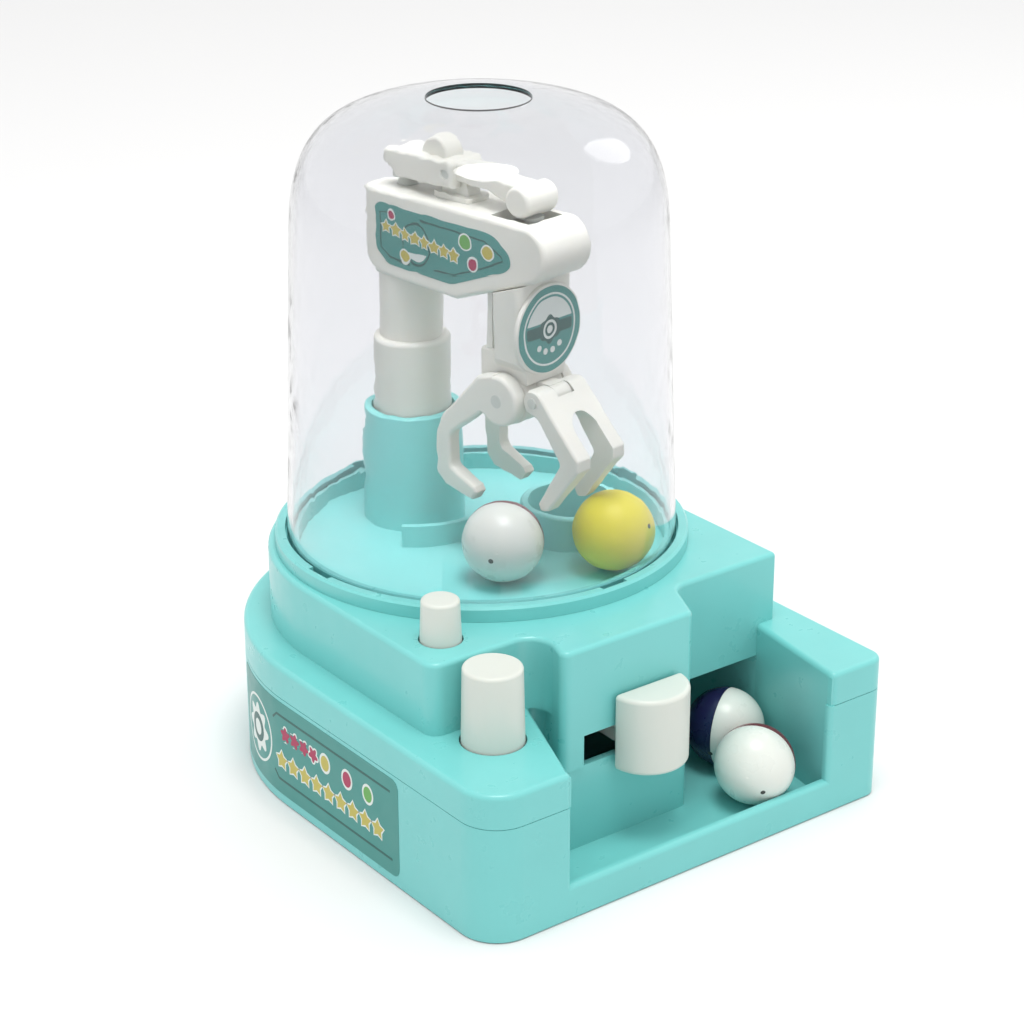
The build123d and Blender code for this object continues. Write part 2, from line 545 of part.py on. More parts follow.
def jaw_rear_side(side):
    """One rear prong: round hub, sloping shank, knee and hooked tip."""
    a, b = sorted((side * 8.6, side * 12.9))
    outline = rounded(poly([(46, 127), (40, 125.2), (25.6, 109.6), (22.8, 104.4), (23.2, 90.6), (26.0, 87.4),
                            (37.4, 85.2), (39.6, 88.2), (38.4, 89.8), (28.6, 93.8), (28.4, 104.2), (41, 114.2),
                            (46, 113)]),
                      ((25.6, 109.6, 3.0), (22.8, 104.4, 3.0), (23.2, 90.6, 2.4), (26.0, 87.4, 2.0),
                       (37.4, 85.2, 1.0), (39.6, 88.2, 0.5), (28.6, 93.8, 2.2), (28.4, 104.2, 3.0)))
    shank = extrude(Pos(0, a, 0) * (Plane.XZ * outline), b - a, dir=(0, 1, 0))
    out = max(abs(a), abs(b))
    shank = soft(shank, out, 1.1, 45.5)
    hub = soft(side_cyl(7.7, REAR_S, REAR_Z, a, b), out, 1.3)
    part = shank + hub
    return part - side_cyl(2.0, REAR_S, REAR_Z, -20, 20)


def jaw_rear_axle():
    """Round axle that ties the two rear prongs together through the carrier."""
    return on_arm(side_cyl(2.0, REAR_S, REAR_Z, -13.0, 13.0))


def front_axle():
    return on_arm(side_cyl(1.5, FRONT_S, FRONT_Z, -10.6, 10.6))


# ---------------------------------------------------------------- buttons, springs and levers
def button(x, y, r, z0, z1, bore, stem_r, stem_z, flange_r, under):
    body = cone(r, r - 0.5, under + 1.0, z1, x, y)
    body = fillet(body.edges().group_by(Axis.Z)[-1], 1.0)
    body += cyl(r, z0, under + 1.0, x, y)
    body += cyl(flange_r, under - 2.0, under - 0.3, x, y)
    body -= cyl(bore, z0 - 1, z1 - 2.4, x, y)
    body += cyl(stem_r, stem_z, z1 - 2.0, x, y)
    return body


def big_button():
    return button(BIG_X, BIG_Y, BIG_R, 39.8, Z_BIG, 6.8, 2.6, 23.9, 11.0, Z_LEDGE - WALL)


def small_button():
    return button(SMALL_X, SMALL_Y, SMALL_R, 56.0, Z_SMALL, 4.3, 1.7, 12.8, 8.0, Z_TIER - WALL)


def coil(x, y, r, wire, z0, z1, turns):
    height = z1 - z0 - wire
    path = Helix(pitch=height / turns, height=height, radius=r)
    start = path @ 0
    section = Plane(origin=start, z_dir=path % 0) * Circle(wire / 2)
    return Pos(x, y, z0 + wire / 2) * sweep(section, path=path)


def big_spring():
    return coil(BIG_X, BIG_Y, 4.7, 0.9, 27.1, 65.8, 9)


def small_spring():
    return coil(SMALL_X, SMALL_Y, 3.1, 0.9, 33.5, 77.6, 9)


def rocking_lever(x, y, share, z, end_r, fork):
    ang, length = heading(x, y)
    at = length * share
    wide = 3.6 if fork else 2.2
    body = box(0, length - 5, -wide, wide, z - 1.6, z + 1.6)
    body += Pos(at, 0, z) * Rot(90, 0, 0) * Cylinder(3.2, 2 * wide + 0.6)
    body += Pos(0, 0, z) * Rot(90, 0, 0) * Cylinder(end_r, 2 * wide + 0.6)
    body += Pos(length, 0, z) * Rot(90, 0, 0) * Cylinder(end_r, 13.0)
    if fork:
        body += box(length - 9, length, -6.5, 6.5, z - 1.6, z + 1.6)
        body -= box(length - 4.6, length + 9, -3.5, 3.5, z - 9, z + 9)
    else:
        body += box(length - 9, length, -3.6, 3.6, z - 1.6, z + 1.6)
    body -= Pos(at, 0, z) * Rot(90, 0, 0) * Cylinder(1.56, 20)
    return Pos(x, y, 0) * Rot(0, 0, ang) * body


def lift_lever():
    return rocking_lever(BIG_X, BIG_Y, BIG_SHARE, 20.0, 3.5, True)


def claw_lever():
    return rocking_lever(SMALL_X, SMALL_Y, SMALL_SHARE, 10.0, 2.4, False)


def lever_pins():
    out = []
    places = ((BIG_X, BIG_Y, BIG_SHARE, 20.0, 8.4), (SMALL_X, SMALL_Y, SMALL_SHARE, 10.0, 3.8))
    for x, y, share, z, gap in places:
        ang, length = heading(x, y)
        pin = Pos(length * share, 0, z) * Rot(90, 0, 0) * Cylinder(1.5, 2 * gap + 4.8)
        out.append(Pos(x, y, 0) * Rot(0, 0, ang) * pin)
    return Compound(out)


def swing_lever():
    front, rear = KNOB_PIN_Y, AY - CRANK_R
    body = box(AX - 4.5, AX + 4.5, front + 2, rear - 2, 32.6, 36.6)
    body += cyl(7.0, 32.6, 36.6, AX, SWING_PIVOT_Y)
    body += box(AX - 5.2, AX + 5.2, front - 2.4, front + 8, 32.6, 36.6)
    body += box(AX - 5.2, AX + 5.2, rear - 8, rear + 4.0, 32.6, 36.6)
    body -= box(AX - 2.75, AX + 2.75, rear - 4.4, rear + 9, 30, 40)
    body -= box(AX - 2.75, AX + 2.75, front - 9, front + 5.6, 30, 40)
    return body - cyl(2.55, 30, 40, AX, SWING_PIVOT_Y)


# ---------------------------------------------------------------- lever knob
def lever_knob():
    body = cyl(KNOB_R, KNOB_Z0, KNOB_Z1, KNOB_X, HOUSE_Y - 0.8)
    body &= box(KNOB_X - 20, KNOB_X + 20, HOUSE_Y - 30, HOUSE_Y - 0.8, 0, 90)
    body = fillet(body.edges(), 1.3)
    return body + box(KNOB_X - 5.8, KNOB_X + 6.0, HOUSE_Y - 2.0, HOUSE_Y + 2.9, 31.0, 39.6)


def knob_slider():
    """Bar behind the slot that carries the knob and its drive pin."""
    body = box(KNOB_X - 8.6, KNOB_X + 8.5, HOUSE_Y + 2.95, -70.8, 37.1, 40.0)
    return body + cyl(2.0, 32.4, 37.5, AX, KNOB_PIN_Y)


# ---------------------------------------------------------------- capsules
def shell_half(centre, pole, first):
    """Half of a hollow capsule; the first half has a skirt that slips into the second."""
    ball = Sphere(BALL_R) - Sphere(BALL_R - 1.2)
    keep = box(-20, 20, -20, 20, 0.05, 20) if first else box(-20, 20, -20, 20, -20, -0.05)
    half = ball & keep
    if first:
        half += tube(BALL_R - 1.5, BALL_R - 2.3, -1.6, 3.2)
    return Plane(origin=centre, z_dir=pole).location * half


PARTS = (
    lower_base, upper_cover, bottom_plate, base_screws, feet, play_deck, collar_ring, dome,
    column_sleeve, crank, lift_tube, arm_head, rocker_bracket, rocker_pin, claw_rod, claw_rocker,
    plunger, carrier, rear_block, rail_plate, badge_boss, badge, arm_label, side_label, jaw_front,
    jaw_rear_left, jaw_rear_right, jaw_rear_axle, front_axle, big_button, small_button, big_spring,
    small_spring, lift_lever, claw_lever, lever_pins, swing_lever, lever_knob, knob_slider,
)


def main():
    os.makedirs("parts", exist_ok=True)
    for make in PARTS:
        export_step(make(), f"parts/{make.__name__}.step")
    for name, (centre, pole) in BALLS.items():
        export_step(shell_half(centre, pole, True), f"parts/{name}_top.step")
        export_step(shell_half(centre, pole, False), f"parts/{name}_bottom.step")


main()
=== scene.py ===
"""Looks of a small desktop claw machine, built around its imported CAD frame."""
import json
import math

import bmesh
import bpy
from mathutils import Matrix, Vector
from mathutils.geometry import tessellate_polygon


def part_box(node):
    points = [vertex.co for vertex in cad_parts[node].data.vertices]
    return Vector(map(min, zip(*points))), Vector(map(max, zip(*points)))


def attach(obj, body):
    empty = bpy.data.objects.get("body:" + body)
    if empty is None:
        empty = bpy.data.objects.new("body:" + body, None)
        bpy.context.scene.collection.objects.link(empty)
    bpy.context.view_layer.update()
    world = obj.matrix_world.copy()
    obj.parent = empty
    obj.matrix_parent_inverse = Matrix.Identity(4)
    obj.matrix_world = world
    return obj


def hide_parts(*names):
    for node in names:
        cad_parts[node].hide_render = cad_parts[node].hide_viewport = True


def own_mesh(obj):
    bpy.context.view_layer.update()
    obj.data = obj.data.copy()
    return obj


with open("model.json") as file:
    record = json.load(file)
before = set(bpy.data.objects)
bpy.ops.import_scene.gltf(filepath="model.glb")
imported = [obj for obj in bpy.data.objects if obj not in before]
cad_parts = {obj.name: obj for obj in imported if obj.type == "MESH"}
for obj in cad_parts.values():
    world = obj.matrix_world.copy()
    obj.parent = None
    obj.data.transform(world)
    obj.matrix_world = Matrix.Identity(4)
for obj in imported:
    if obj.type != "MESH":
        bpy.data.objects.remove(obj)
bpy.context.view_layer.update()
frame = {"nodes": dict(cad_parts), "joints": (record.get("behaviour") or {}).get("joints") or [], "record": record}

MM = 0.001
JOINTS = {j["name"]: j for j in frame["joints"]}


# ---------------------------------------------------------------- camera, floor and light
def add_camera():
    """Camera to the left of the front, 37 degrees round and 23 above."""
    place = Vector((-0.4281, -0.5845, 0.3873))
    back = Vector((-0.5570, -0.7300, 0.3950)).normalized()
    data = bpy.data.cameras.new("camera")
    data.lens = 91.28
    data.sensor_width = 36.0
    data.shift_x = -0.0162
    data.shift_y = -0.0028
    data.clip_start = 0.01
    camera = bpy.data.objects.new("camera", data)
    bpy.context.collection.objects.link(camera)
    camera.location = place
    camera.rotation_mode = "QUATERNION"
    camera.rotation_quaternion = (-back).to_track_quat("-Z", "Y")
    bpy.context.scene.camera = camera


def add_area(name, place, target, size, power, colour):
    """Round area lamp aimed at a target."""
    data = bpy.data.lights.new(name, "AREA")
    data.shape = "DISK"
    data.size = size
    data.energy = power
    data.color = colour
    lamp = bpy.data.objects.new(name, data)
    bpy.context.collection.objects.link(lamp)
    lamp.location = place
    lamp.rotation_mode = "QUATERNION"
    lamp.rotation_quaternion = (Vector(target) - Vector(place)).to_track_quat("-Z", "Y")


def add_stage():
    """Plain pale floor, white surroundings, a soft lamp overhead and a weak one at the side."""
    world = bpy.data.worlds.new("studio")
    bpy.context.scene.world = world
    world.use_nodes = True
    background = world.node_tree.nodes["Background"]
    background.inputs["Color"].default_value = (1.0, 1.0, 1.0, 1.0)
    background.inputs["Strength"].default_value = 0.98
    bpy.context.scene.view_settings.view_transform = "Standard"
    mesh = bpy.data.meshes.new("floor")
    half = 6.0
    corners = [(-half, -half, 0), (half, -half, 0), (half, half, 0), (-half, half, 0)]
    mesh.from_pydata(corners, [], [(0, 1, 2, 3)])
    floor = bpy.data.objects.new("floor", mesh)
    bpy.context.collection.objects.link(floor)
    floor.location.z = -0.0002
    paint = bpy.data.materials.new("floor_paint")
    paint.use_nodes = True
    shader = paint.node_tree.nodes["Principled BSDF"]
    shader.inputs["Base Color"].default_value = (0.80, 0.80, 0.80, 1)
    shader.inputs["Roughness"].default_value = 0.8
    mesh.materials.append(paint)
    add_area("key", (-0.08, -0.22, 1.30), (0, 0, 0.08), 0.55, 8.0, (1.0, 0.99, 0.97))
    add_area("side", (0.85, 0.05, 0.75), (0, 0, 0.08), 0.5, 0.9, (1.0, 0.99, 0.97))


# ---------------------------------------------------------------- materials
def new_material(name):
    """Empty material with its node tree and its shader."""
    material = bpy.data.materials.new(name)
    material.use_nodes = True
    tree = material.node_tree
    return material, tree, tree.nodes["Principled BSDF"]


def noise(tree, scale, detail=3.0, offset=(0.0, 0.0, 0.0)):
    """Noise in the machine's own coordinates, so that it rides with its piece."""
    coords = tree.nodes.new("ShaderNodeTexCoord")
    shift = tree.nodes.new("ShaderNodeMapping")
    shift.inputs["Location"].default_value = offset
    tree.links.new(coords.outputs["Object"], shift.inputs["Vector"])
    node = tree.nodes.new("ShaderNodeTexNoise")
    node.inputs["Scale"].default_value = scale
    node.inputs["Detail"].default_value = detail
    tree.links.new(shift.outputs["Vector"], node.inputs["Vector"])
    return node.outputs["Fac"]


def remap(tree, value, low, high):
    """Spreads the middle of a noise value between two limits."""
    node = tree.nodes.new("ShaderNodeMapRange")
    node.inputs["From Min"].default_value = 0.3
    node.inputs["From Max"].default_value = 0.7
    node.inputs["To Min"].default_value = low
    node.inputs["To Max"].default_value = high
    tree.links.new(value, node.inputs["Value"])
    return node.outputs["Result"]


def mix_colour(tree, factor, first, second):
    node = tree.nodes.new("ShaderNodeMix")
    node.data_type = "RGBA"
    node.inputs["A"].default_value = (*first, 1)
    node.inputs["B"].default_value = (*second, 1)
    tree.links.new(factor, node.inputs["Factor"])
    return node.outputs["Result"]


def scaled(colour, factor):
    return tuple(min(1.0, c * factor) for c in colour)


def moulded(name, colour, roughness, grain=0.02, spread=0.05, glow=0.0, glow_tint=None, coat=0.0):
    """Injection-moulded plastic: faint flow clouds, fine orange peel and uneven gloss."""
    material, tree, shader = new_material(name)
    clouds = noise(tree, 28.0, 4.0)
    base = mix_colour(tree, remap(tree, clouds, 0.0, 1.0), scaled(colour, 1 - spread),
                      scaled(colour, 1 + spread))
    tree.links.new(base, shader.inputs["Base Color"])
    gloss = remap(tree, noise(tree, 160.0, 5.0, (0.3, 0.1, 0.7)), roughness * 0.82, roughness * 1.22)
    tree.links.new(gloss, shader.inputs["Roughness"])
    peel = noise(tree, 1500.0, 2.0)
    waves = noise(tree, 90.0, 2.0, (0.9, 0.2, 0.4))
    total = tree.nodes.new("ShaderNodeMath")
    total.operation = "MULTIPLY_ADD"
    tree.links.new(waves, total.inputs[0])
    total.inputs[1].default_value = 1.5
    tree.links.new(peel, total.inputs[2])
    bump = tree.nodes.new("ShaderNodeBump")
    bump.inputs["Strength"].default_value = 0.35
    bump.inputs["Distance"].default_value = grain * MM
    tree.links.new(total.outputs["Value"], bump.inputs["Height"])
    tree.links.new(bump.outputs["Normal"], shader.inputs["Normal"])
    shader.inputs["IOR"].default_value = 1.46
    if glow:
        shader.inputs["Subsurface Weight"].default_value = glow
        shader.inputs["Subsurface Radius"].default_value = glow_tint or (1.0, 0.85, 0.7)
        shader.inputs["Subsurface Scale"].default_value = 2.5 * MM
    if coat:
        shader.inputs["Coat Weight"].default_value = coat
        shader.inputs["Coat Roughness"].default_value = 0.08
    return material


def clear_plastic():
    """Thin clear shell that lets lamps through, with a faint cool tint and slight waviness."""
    material, tree, shader = new_material("clear_shell")
    shader.inputs["Base Color"].default_value = (0.880, 0.885, 0.905, 1)
    shader.inputs["Roughness"].default_value = 0.03
    shader.inputs["IOR"].default_value = 1.45
    shader.inputs["Transmission Weight"].default_value = 1.0
    bump = tree.nodes.new("ShaderNodeBump")
    bump.inputs["Strength"].default_value = 0.25
    bump.inputs["Distance"].default_value = 0.05 * MM
    tree.links.new(noise(tree, 45.0, 2.0), bump.inputs["Height"])
    tree.links.new(bump.outputs["Normal"], shader.inputs["Normal"])
    path = tree.nodes.new("ShaderNodeLightPath")
    through = tree.nodes.new("ShaderNodeBsdfTransparent")
    through.inputs["Color"].default_value = (0.99, 0.99, 1.0, 1)
    either = tree.nodes.new("ShaderNodeMixShader")
    tree.links.new(path.outputs["Is Shadow Ray"], either.inputs["Fac"])
    tree.links.new(shader.outputs["BSDF"], either.inputs[1])
    tree.links.new(through.outputs["BSDF"], either.inputs[2])
    tree.links.new(either.outputs["Shader"], tree.nodes["Material Output"].inputs["Surface"])
    return material


def brushed_steel():
    material, tree, shader = new_material("drawn_steel")
    shader.inputs["Metallic"].default_value = 1.0
    tone = mix_colour(tree, remap(tree, noise(tree, 300.0, 4.0), 0, 1), (0.42, 0.42, 0.41),
                      (0.62, 0.62, 0.61))
    tree.links.new(tone, shader.inputs["Base Color"])
    tree.links.new(remap(tree, noise(tree, 900.0, 3.0), 0.25, 0.42), shader.inputs["Roughness"])
    return material


def ink(name, colour):
    return moulded(name, colour, 0.34, 0.015, 0.05)


def make_materials():
    return {
        "mint_plastic": moulded("mint_moulding", (0.180, 0.575, 0.560), 0.32, 0.012, 0.03, 0.05,
                                (0.5, 1.0, 0.9), 0.15),
        "ivory_plastic": moulded("ivory_moulding", (0.635, 0.665, 0.615), 0.36, 0.012, 0.02, 0.15),
        # Paler copies of the mint and ivory plastics: painted light that offsets the darkening of what is seen
        # under the dome.
        "mint_painted_light_under_dome": moulded("mint_moulding_painted_light", (0.27, 0.74, 0.72), 0.36, 0.012, 0.03, 0.05,
                                   (0.5, 1.0, 0.9)),
        "ivory_painted_light_under_dome": moulded("ivory_moulding_painted_light", (0.79, 0.79, 0.725), 0.38, 0.012, 0.02, 0.15),
        "clear_plastic": clear_plastic(),
        "teal_label": ink("label_vinyl", (0.050, 0.265, 0.240)),
        "ink_dark": ink("label_ink_dark", (0.012, 0.095, 0.085)),
        "ink_white": ink("label_ink_white", (0.70, 0.76, 0.73)),
        "ink_yellow": ink("label_ink_yellow", (0.50, 0.43, 0.085)),
        "ink_red": ink("label_ink_red", (0.38, 0.022, 0.085)),
        "ink_green": ink("label_ink_green", (0.12, 0.37, 0.075)),
        "steel": brushed_steel(),
        # Near-black disc colour: painted shade of a vent hole, not the plastic's own colour.
        "vent_painted_shade": moulded("vent_shadow", (0.05, 0.05, 0.045), 0.6),
        "grey_rubber": moulded("soft_rubber", (0.10, 0.105, 0.105), 0.8, 0.06, 0.12),
        "capsule_white": moulded("capsule_white", (0.70, 0.73, 0.68), 0.30, 0.012, 0.02, 0.12, None, 0.1),
        "capsule_yellow": moulded("capsule_yellow", (0.78, 0.69, 0.015), 0.42, 0.012, 0.04, 0.08,
                                  (1.0, 0.7, 0.2)),
        "capsule_red": moulded("capsule_red", (0.16, 0.006, 0.018), 0.28, 0.02, 0.04, 0.0, None, 0.1),
        "capsule_navy": moulded("capsule_navy", (0.012, 0.014, 0.060), 0.28, 0.02, 0.04, 0.0, None, 0.1),
    }


MAT = make_materials()


def paint_frame():
    """Gives each CAD node the material of its record slot; pieces under the dome get paler copies with painted
    light, which offset the darkening by the dome.
    """
    slots = {s["node"]: s["material_slot"] for s in frame["record"]["subparts"]}
    # Painted light: the deck and the arm parts under the dome take the paler copies.
    slots["play_deck"] = "mint_painted_light_under_dome"
    under_dome = ("column_sleeve", "lift_tube", "arm_head", "carrier", "rear_block", "rail_plate",
                  "badge_boss", "rocker_bracket", "claw_rocker", "jaw_front", "jaw_rear_left",
                  "jaw_rear_right")
    slots.update({name: "ivory_painted_light_under_dome" for name in under_dome})
    for name, node in frame["nodes"].items():
        material = MAT[slots[name]]
        if not node.material_slots:
            node.data.materials.append(material)
        for entry in node.material_slots:
            entry.material = material


# ---------------------------------------------------------------- mesh helpers
def finished(name, bm, material, body):
    """Makes a piece from a bmesh in metres, which rides on a body."""
    bmesh.ops.recalc_face_normals(bm, faces=bm.faces)
    mesh = bpy.data.meshes.new(name)
    bm.to_mesh(mesh)
    bm.free()
    mesh.materials.append(MAT[material])
    piece = bpy.data.objects.new(name, mesh)
    bpy.context.collection.objects.link(piece)
    mesh.shade_smooth()
    mesh.set_sharp_from_angle(angle=math.radians(35))
    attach(piece, body)
    return piece


def circle(x, y, r, count=36, squeeze=1.0):
    turn = [2 * math.pi * k / count for k in range(count)]
    return [(x + r * squeeze * math.cos(t), y + r * math.sin(t)) for t in turn]


def star(x, y, r, points=5, share=0.5, turn=90.0):
    out = []
    for k in range(2 * points):
        reach = r if k % 2 == 0 else r * share
        t = math.radians(turn) + math.pi * k / points
        out.append((x + reach * math.cos(t), y + reach * math.sin(t)))
    return out


def flower(x, y, r, petals=5, depth=0.22, turn=90.0, count=90):
    out = []
    for k in range(count):
        t = 2 * math.pi * k / count
        reach = r * (1 - depth + depth * math.cos(petals * t))
        t += math.radians(turn)
        out.append((x + reach * math.cos(t), y + reach * math.sin(t)))
    return out


def rounded_polygon(points, radius, steps=5):
    """Polygon with each corner cut back to a small arc."""
    out = []
    count = len(points)
    for k in range(count):
        here = Vector(points[k])
        before = Vector(points[k - 1]) - here
        after = Vector(points[(k + 1) % count]) - here
        reach = min(radius, before.length * 0.45, after.length * 0.45)
        start = here + before.normalized() * reach
        end = here + after.normalized() * reach
        for i in range(steps + 1):
            t = i / steps
            out.append(tuple(start * (1 - t) ** 2 + here * (2 * t * (1 - t)) + end * t ** 2))
    return out


def grown(points, by):
    """Polygon offset outwards by moving each corner along the mean of its two edge normals."""
    area = sum(points[k - 1][0] * points[k][1] - points[k][0] * points[k - 1][1] for k in range(len(points)))
    sign = 1 if area > 0 else -1
    out = []
    for k, here in enumerate(points):
        a, b = Vector(points[k - 1]), Vector(points[(k + 1) % len(points)])
        along = (Vector(here) - a).normalized() + (b - Vector(here)).normalized()
        normal = Vector((along.y, -along.x)).normalized() * sign
        out.append((here[0] + normal.x * by, here[1] + normal.y * by))
    return out


def stroke(points, width):
    """Closed outline of a line of a given width through open points."""
    left, right = [], []
    for k, here in enumerate(points):
        a = Vector(points[max(k - 1, 0)])
        b = Vector(points[min(k + 1, len(points) - 1)])
        along = (b - a).normalized()
        side = Vector((-along.y, along.x)) * width / 2
        left.append((here[0] + side.x, here[1] + side.y))
        right.append((here[0] - side.x, here[1] - side.y))
    return left + right[::-1]


def raised(name, bm, place, low, material, body, cuts):
    """Finishes a flat print: cut where it has to bend, given a rim down to low, and put in place."""
    for at in cuts:
        bmesh.ops.bisect_plane(bm, geom=bm.verts[:] + bm.edges[:] + bm.faces[:], plane_co=(at, 0, 0),
                               plane_no=(1, 0, 0))
    rim = [e for e in bm.edges if e.is_boundary]
    skirt = bmesh.ops.extrude_edge_only(bm, edges=rim)
    for v in skirt["geom"]:
        if isinstance(v, bmesh.types.BMVert):
            v.co.z = low
    for v in bm.verts:
        v.co = Vector(place(v.co.x, v.co.y, v.co.z)) * MM
    return finished(name, bm, material, body)


def decal(name, shapes, place, low, high, material, slot, body, cuts=()):
    """Thin printed shapes. place(a, b, h) puts a point of the print at height h over the surface."""
    bm = bmesh.new()
    for shape in shapes:
        corners = [bm.verts.new((a, b, high)) for a, b in shape]
        flat = tessellate_polygon([[Vector((a, b, 0)) for a, b in shape]])
        for tri in flat:
            bm.faces.new([corners[i] for i in tri])
    return raised(name, bm, place, low, material, body, cuts)


def ring_decal(name, outer, inner, place, low, high, material, slot, body, cuts=()):
    """Thin printed ring between two loops with the same number of points."""
    bm = bmesh.new()
    a = [bm.verts.new((x, y, high)) for x, y in outer]
    b = [bm.verts.new((x, y, high)) for x, y in inner]
    for k in range(len(a)):
        bm.faces.new((a[k - 1], a[k], b[k], b[k - 1]))
    return raised(name, bm, place, low, material, body, cuts)


# ---------------------------------------------------------------- side label
def side_label():
    """Printed skin on the left wall, wrapped on to the round back, with generic shapes."""
    low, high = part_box("lower_base")
    x0, x1, back = low.x / MM, high.x / MM, high.y / MM
    middle, radius = (x0 + x1) / 2, (x1 - x0) / 2
    centre = back - radius
    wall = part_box("side_label")
    z0, z1, y0, y1 = wall[0].z / MM, wall[1].z / MM, wall[0].y / MM, wall[1].y / MM
    end = centre + radius * math.asin((y1 - centre) / radius)

    def place(a, z, h):
        if a <= centre:
            return (x0 - h, a, z)
        t = (a - centre) / radius
        return (middle - (radius + h) * math.cos(t), centre + (radius + h) * math.sin(t), z)

    cuts = [centre + 1.5 * k for k in range(0, int((end - centre) / 1.5) + 1)]
    sheet = rounded_polygon([(y0, z0), (end, z0), (end, z1), (y0, z1)], 3.5, 8)
    base = decal("side_label_sheet", [sheet], place, 0.01, 0.09, "teal_label", "teal_label", "base", cuts)
    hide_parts("side_label")
    args = (place, 0.08, 0.12)
    top = [(3.4, 27.4), (1.0, 29.5), (-58.0, 29.5)]
    bottom = [(3.4, 9.9), (1.0, 7.8), (-58.6, 7.8)]
    decal("side_label_rules", [stroke(top, 0.75), stroke(bottom, 0.75)], *args, "ink_dark", "teal_label",
          "base", cuts)
    big = [flower(-3.6 - 5.0 * k, 23.9, 2.5, 5, 0.2, 90 + 12 * k) for k in range(4)]
    stars = [star(-1.1 - 6.3 * k, 14.6, 3.1, 5, 0.55, 90) for k in range(9)]
    spots = {"ink_yellow": (-24.8, 23.8), "ink_red": (-36.2, 23.6), "ink_green": (-46.8, 23.5)}
    halo = [grown(f, 0.55) for f in big] + [grown(s, 0.6) for s in stars]
    halo += [circle(a, z, 3.3, 32, 0.85) for a, z in spots.values()]
    decal("side_label_halo", halo, *args, "ink_white", "teal_label", "base", cuts)
    upper = (place, 0.11, 0.15)
    decal("side_label_flowers", big, *upper, "ink_red", "teal_label", "base", cuts)
    decal("side_label_stars", stars, *upper, "ink_yellow", "teal_label", "base", cuts)
    for colour, (a, z) in spots.items():
        dot = circle(a, z, 2.45, 28, 0.85)
        decal("side_label_dot_" + colour[4:], [dot], *upper, colour, "teal_label", "base")
    a, z = centre + 18.0, 18.4
    ring_decal("side_label_ring", circle(a, z, 10.7, 56), circle(a, z, 9.9, 56), *args, "ink_white",
               "teal_label", "base", cuts)
    decal("side_label_bloom", [flower(a, z, 8.2, 8, 0.14)], *args, "ink_white", "teal_label", "base", cuts)
    decal("side_label_heart", [circle(a, z, 4.6)], *upper, "ink_dark", "teal_label", "base", cuts)
    decal("side_label_pip", [circle(a, z, 2.6)], place, 0.14, 0.17, "ink_white", "teal_label", "base", cuts)


# ---------------------------------------------------------------- prints on the arm
def arm_frame():
    """Column axis and the arm's two horizontal directions at rest, from the joints."""
    pivot = Vector(JOINTS["column_swing"]["pos_m"]) / MM
    across = Vector(JOINTS["front_jaw_close"]["axis"]).normalized()
    along = Vector((across.y, -across.x, 0)).normalized()
    if along.y > 0:
        along = -along
    return Vector((pivot.x, pivot.y, 0)), along, across


def arm_label():
    origin, along, across = arm_frame()

    def place(s, z, h):
        return origin + along * s - across * (10.3 + h) + Vector((0, 0, z))

    points = [(-3.8, 168.2), (43.5, 168.2), (50.2, 164.2), (51.6, 160.6), (49.2, 158.2), (27.6, 149.6),
              (0.6, 150.4), (-3.8, 154.0)]
    outline = rounded_polygon(points, 2.4, 6)
    sheet = decal("arm_label_sheet", [outline], place, 0.01, 0.09, "teal_label", "teal_label", "arm")
    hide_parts("arm_label")
    args = (place, 0.08, 0.12)
    line = [(10.5, 151.9), (2.0, 152.3), (-1.6, 155.0), (-1.6, 166.0), (5.0, 166.2)]
    line2 = [(15.0, 166.1), (41.0, 165.6), (47.6, 162.4), (48.2, 160.9), (29.0, 152.6), (20.5, 152.2)]
    rules = [stroke(line, 0.55), stroke(line2, 0.55)]
    decal("arm_label_rules", rules, *args, "ink_dark", "teal_label", "arm")
    ring_decal("arm_label_ring", circle(13.2, 158.6, 6.6, 48, 0.9), circle(13.2, 158.6, 6.0, 48, 0.9), *args,
               "ink_dark", "teal_label", "arm")
    bowl = [p for p in circle(13.2, 158.6, 5.4, 48, 0.9) if p[1] < 156.4]
    decal("arm_label_bowl", [bowl], *args, "ink_white", "teal_label", "arm")
    row = [star(0.8 + 4.0 * k, 161.5 - 0.42 * k, 2.2, 5, 0.55, 90) for k in range(8)]
    spots = {"ink_red": [(3.0, 165.6, 1.35), (36.4, 157.6, 1.7)],
             "ink_yellow": [(8.6, 154.1, 1.9), (42.4, 162.3, 2.0)],
             "ink_green": [(33.4, 163.6, 2.2)]}
    halo = [grown(s, 0.42) for s in row]
    for group in spots.values():
        halo += [circle(s, z, r + 0.5, 28) for s, z, r in group]
    upper = (place, 0.11, 0.15)
    decal("arm_label_halo", halo, *upper, "ink_white", "teal_label", "arm")
    over = (place, 0.14, 0.17)
    decal("arm_label_stars", row, *over, "ink_yellow", "teal_label", "arm")
    for colour, group in spots.items():
        dots = [circle(s, z, r, 26) for s, z, r in group]
        decal("arm_label_dots_" + colour[4:], dots, *over, colour, "teal_label", "arm")


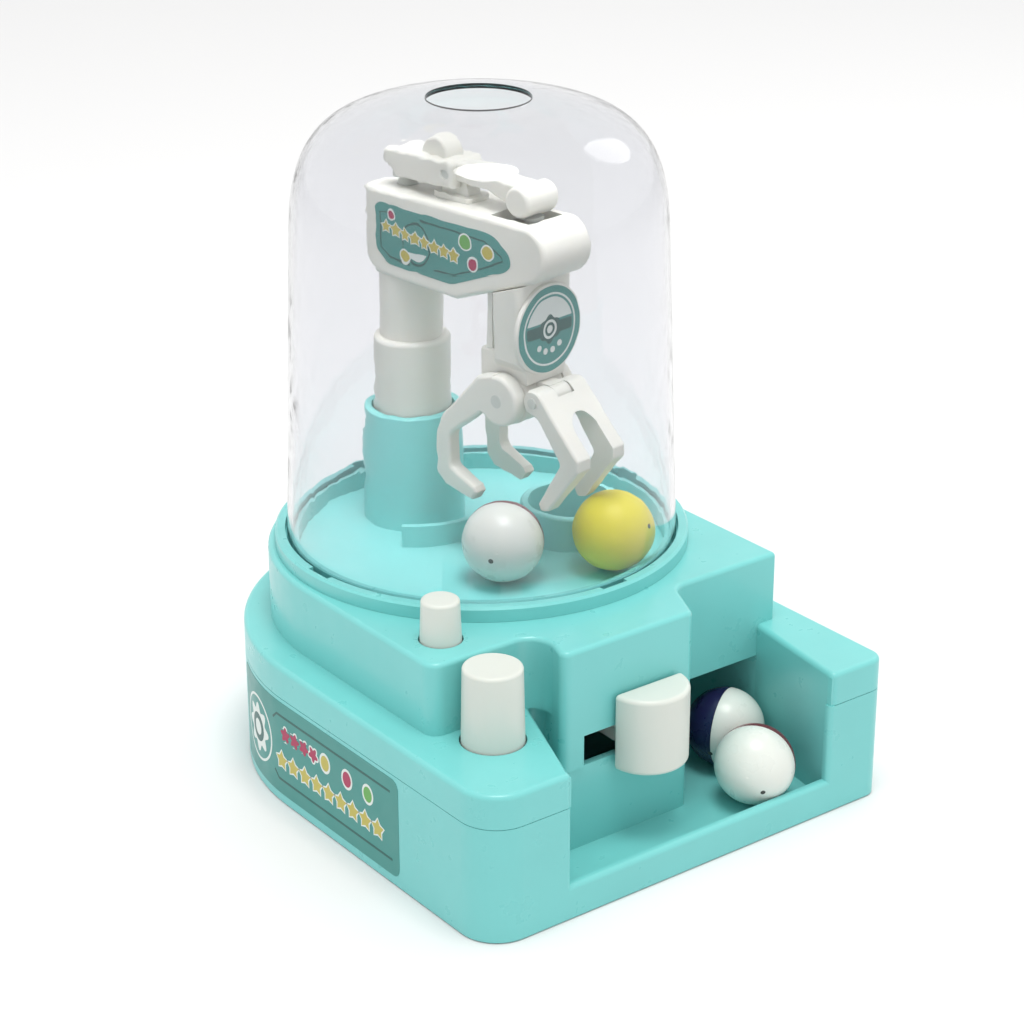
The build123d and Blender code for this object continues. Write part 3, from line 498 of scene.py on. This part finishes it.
def badge():
    """Round print on the front of the carrier: rings, a half disc and a small flower."""
    origin, along, across = arm_frame()
    low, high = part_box("badge")
    middle = Vector(((low.x + high.x) / 2 / MM, (low.y + high.y) / 2 / MM, 0)) - origin
    front = middle.dot(along) - 0.08
    z0 = (low.z + high.z) / 2 / MM

    def place(v, z, h):
        return origin + along * (front + h) + across * v + Vector((0, 0, z0 + z))

    disc = circle(0, 0, 12.9, 72)
    sheet = decal("badge_sheet", [disc], place, 0.01, 0.08, "teal_label", "teal_label", "arm")
    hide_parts("badge")
    args = (place, 0.07, 0.11)
    ring_decal("badge_ring", circle(0, 0, 10.9, 64), circle(0, 0, 10.3, 64), *args, "ink_white",
               "teal_label", "arm")
    upper_half = [p for p in circle(0, 0, 9.6, 72) if p[1] > 1.7]
    decal("badge_half", [upper_half], *args, "ink_white", "teal_label", "arm")
    decal("badge_band", [rounded_polygon([(-9.4, -1.7), (9.4, -1.7), (9.4, 1.7), (-9.4, 1.7)], 0.8)], *args,
          "ink_dark", "teal_label", "arm")
    decal("badge_hub", [flower(0, 0, 4.5, 6, 0.1)], place, 0.10, 0.13, "ink_dark", "teal_label", "arm")
    ring_decal("badge_eye", circle(0, 0, 2.9, 40), circle(0, 0, 2.1, 40), place, 0.12, 0.15, "ink_white",
               "teal_label", "arm")
    decal("badge_pip", [circle(0, 0, 1.2, 28)], place, 0.12, 0.15, "ink_white", "teal_label", "arm")
    marks = [circle(6.6 * math.sin(math.radians(t)), -6.6 * math.cos(math.radians(t)), 0.95, 22)
             for t in (-42, -15, 12, 39)]
    decal("badge_marks", marks, *args, "ink_white", "teal_label", "arm")


# ---------------------------------------------------------------- springs
def spring(node, travel_name):
    """Steel copy of a coil, riding on the base in place of its CAD node."""
    source = frame["nodes"][node]
    mesh = source.data.copy()
    mesh.transform(source.matrix_world)
    piece = bpy.data.objects.new(travel_name, mesh)
    bpy.context.collection.objects.link(piece)
    mesh.materials.clear()
    mesh.materials.append(MAT["steel"])
    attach(piece, "base")
    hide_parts(node)
    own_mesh(piece)


# ---------------------------------------------------------------- painted shade of small holes
def round_mark(name, centre, away, radius, r, rise, material, body):
    """Low round mark with a soft rim, lying on a sphere in a given direction."""
    away = Vector(away).normalized()
    side = away.orthogonal().normalized()
    up = away.cross(side)
    rings = [(0.55, 1.0), (0.86, 0.8), (1.0, 0.0)]
    count = 28
    bm = bmesh.new()
    loops = []
    for share, height in rings:
        loop = []
        for k in range(count):
            t = 2 * math.pi * k / count
            flat = side * (r * share * math.cos(t)) + up * (r * share * math.sin(t))
            reach = math.sqrt(radius * radius - flat.length_squared) + rise * height
            loop.append(bm.verts.new((centre + flat + away * reach) * MM))
        loops.append(loop)
    bm.faces.new(loops[0])
    for inner, outer in zip(loops, loops[1:]):
        for k in range(count):
            bm.faces.new((inner[k - 1], inner[k], outer[k], outer[k - 1]))
    base = [bm.verts.new(v.co - away * 0.25 * MM) for v in loops[-1]]
    for k in range(count):
        bm.faces.new((loops[-1][k - 1], loops[-1][k], base[k], base[k - 1]))
    bm.faces.new(base)
    return finished(name, bm, material, body)


def sphere_of(*nodes):
    """Centre and radius, in mm, of the ball made by some nodes."""
    boxes = [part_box(n) for n in nodes]
    low = Vector([min(b[0][i] for b in boxes) for i in range(3)]) / MM
    high = Vector([max(b[1][i] for b in boxes) for i in range(3)]) / MM
    return (low + high) / 2, (high - low).length / (2 * math.sqrt(3))


def capsule_marks():
    """Dark disc on each capsule's shell, painted shade standing in for a vent hole."""
    marks = {"a": (-0.75, -0.55, -0.1), "b": (0.35, -0.85, 0.30), "c": (-0.45, -0.80, -0.25),
             "d": (-0.80, -0.40, -0.30)}
    for letter, away in marks.items():
        centre, radius = sphere_of(f"ball_{letter}_top", f"ball_{letter}_bottom")
        round_mark(f"vent_{letter}_0", centre, away, radius, 0.75, 0.03, "vent_painted_shade",
                   f"capsule_{letter}")


# ---------------------------------------------------------------- build
add_camera()
add_stage()
paint_frame()
side_label()
arm_label()
badge()
spring("big_spring", "big_coil")
spring("small_spring", "small_coil")
capsule_marks()
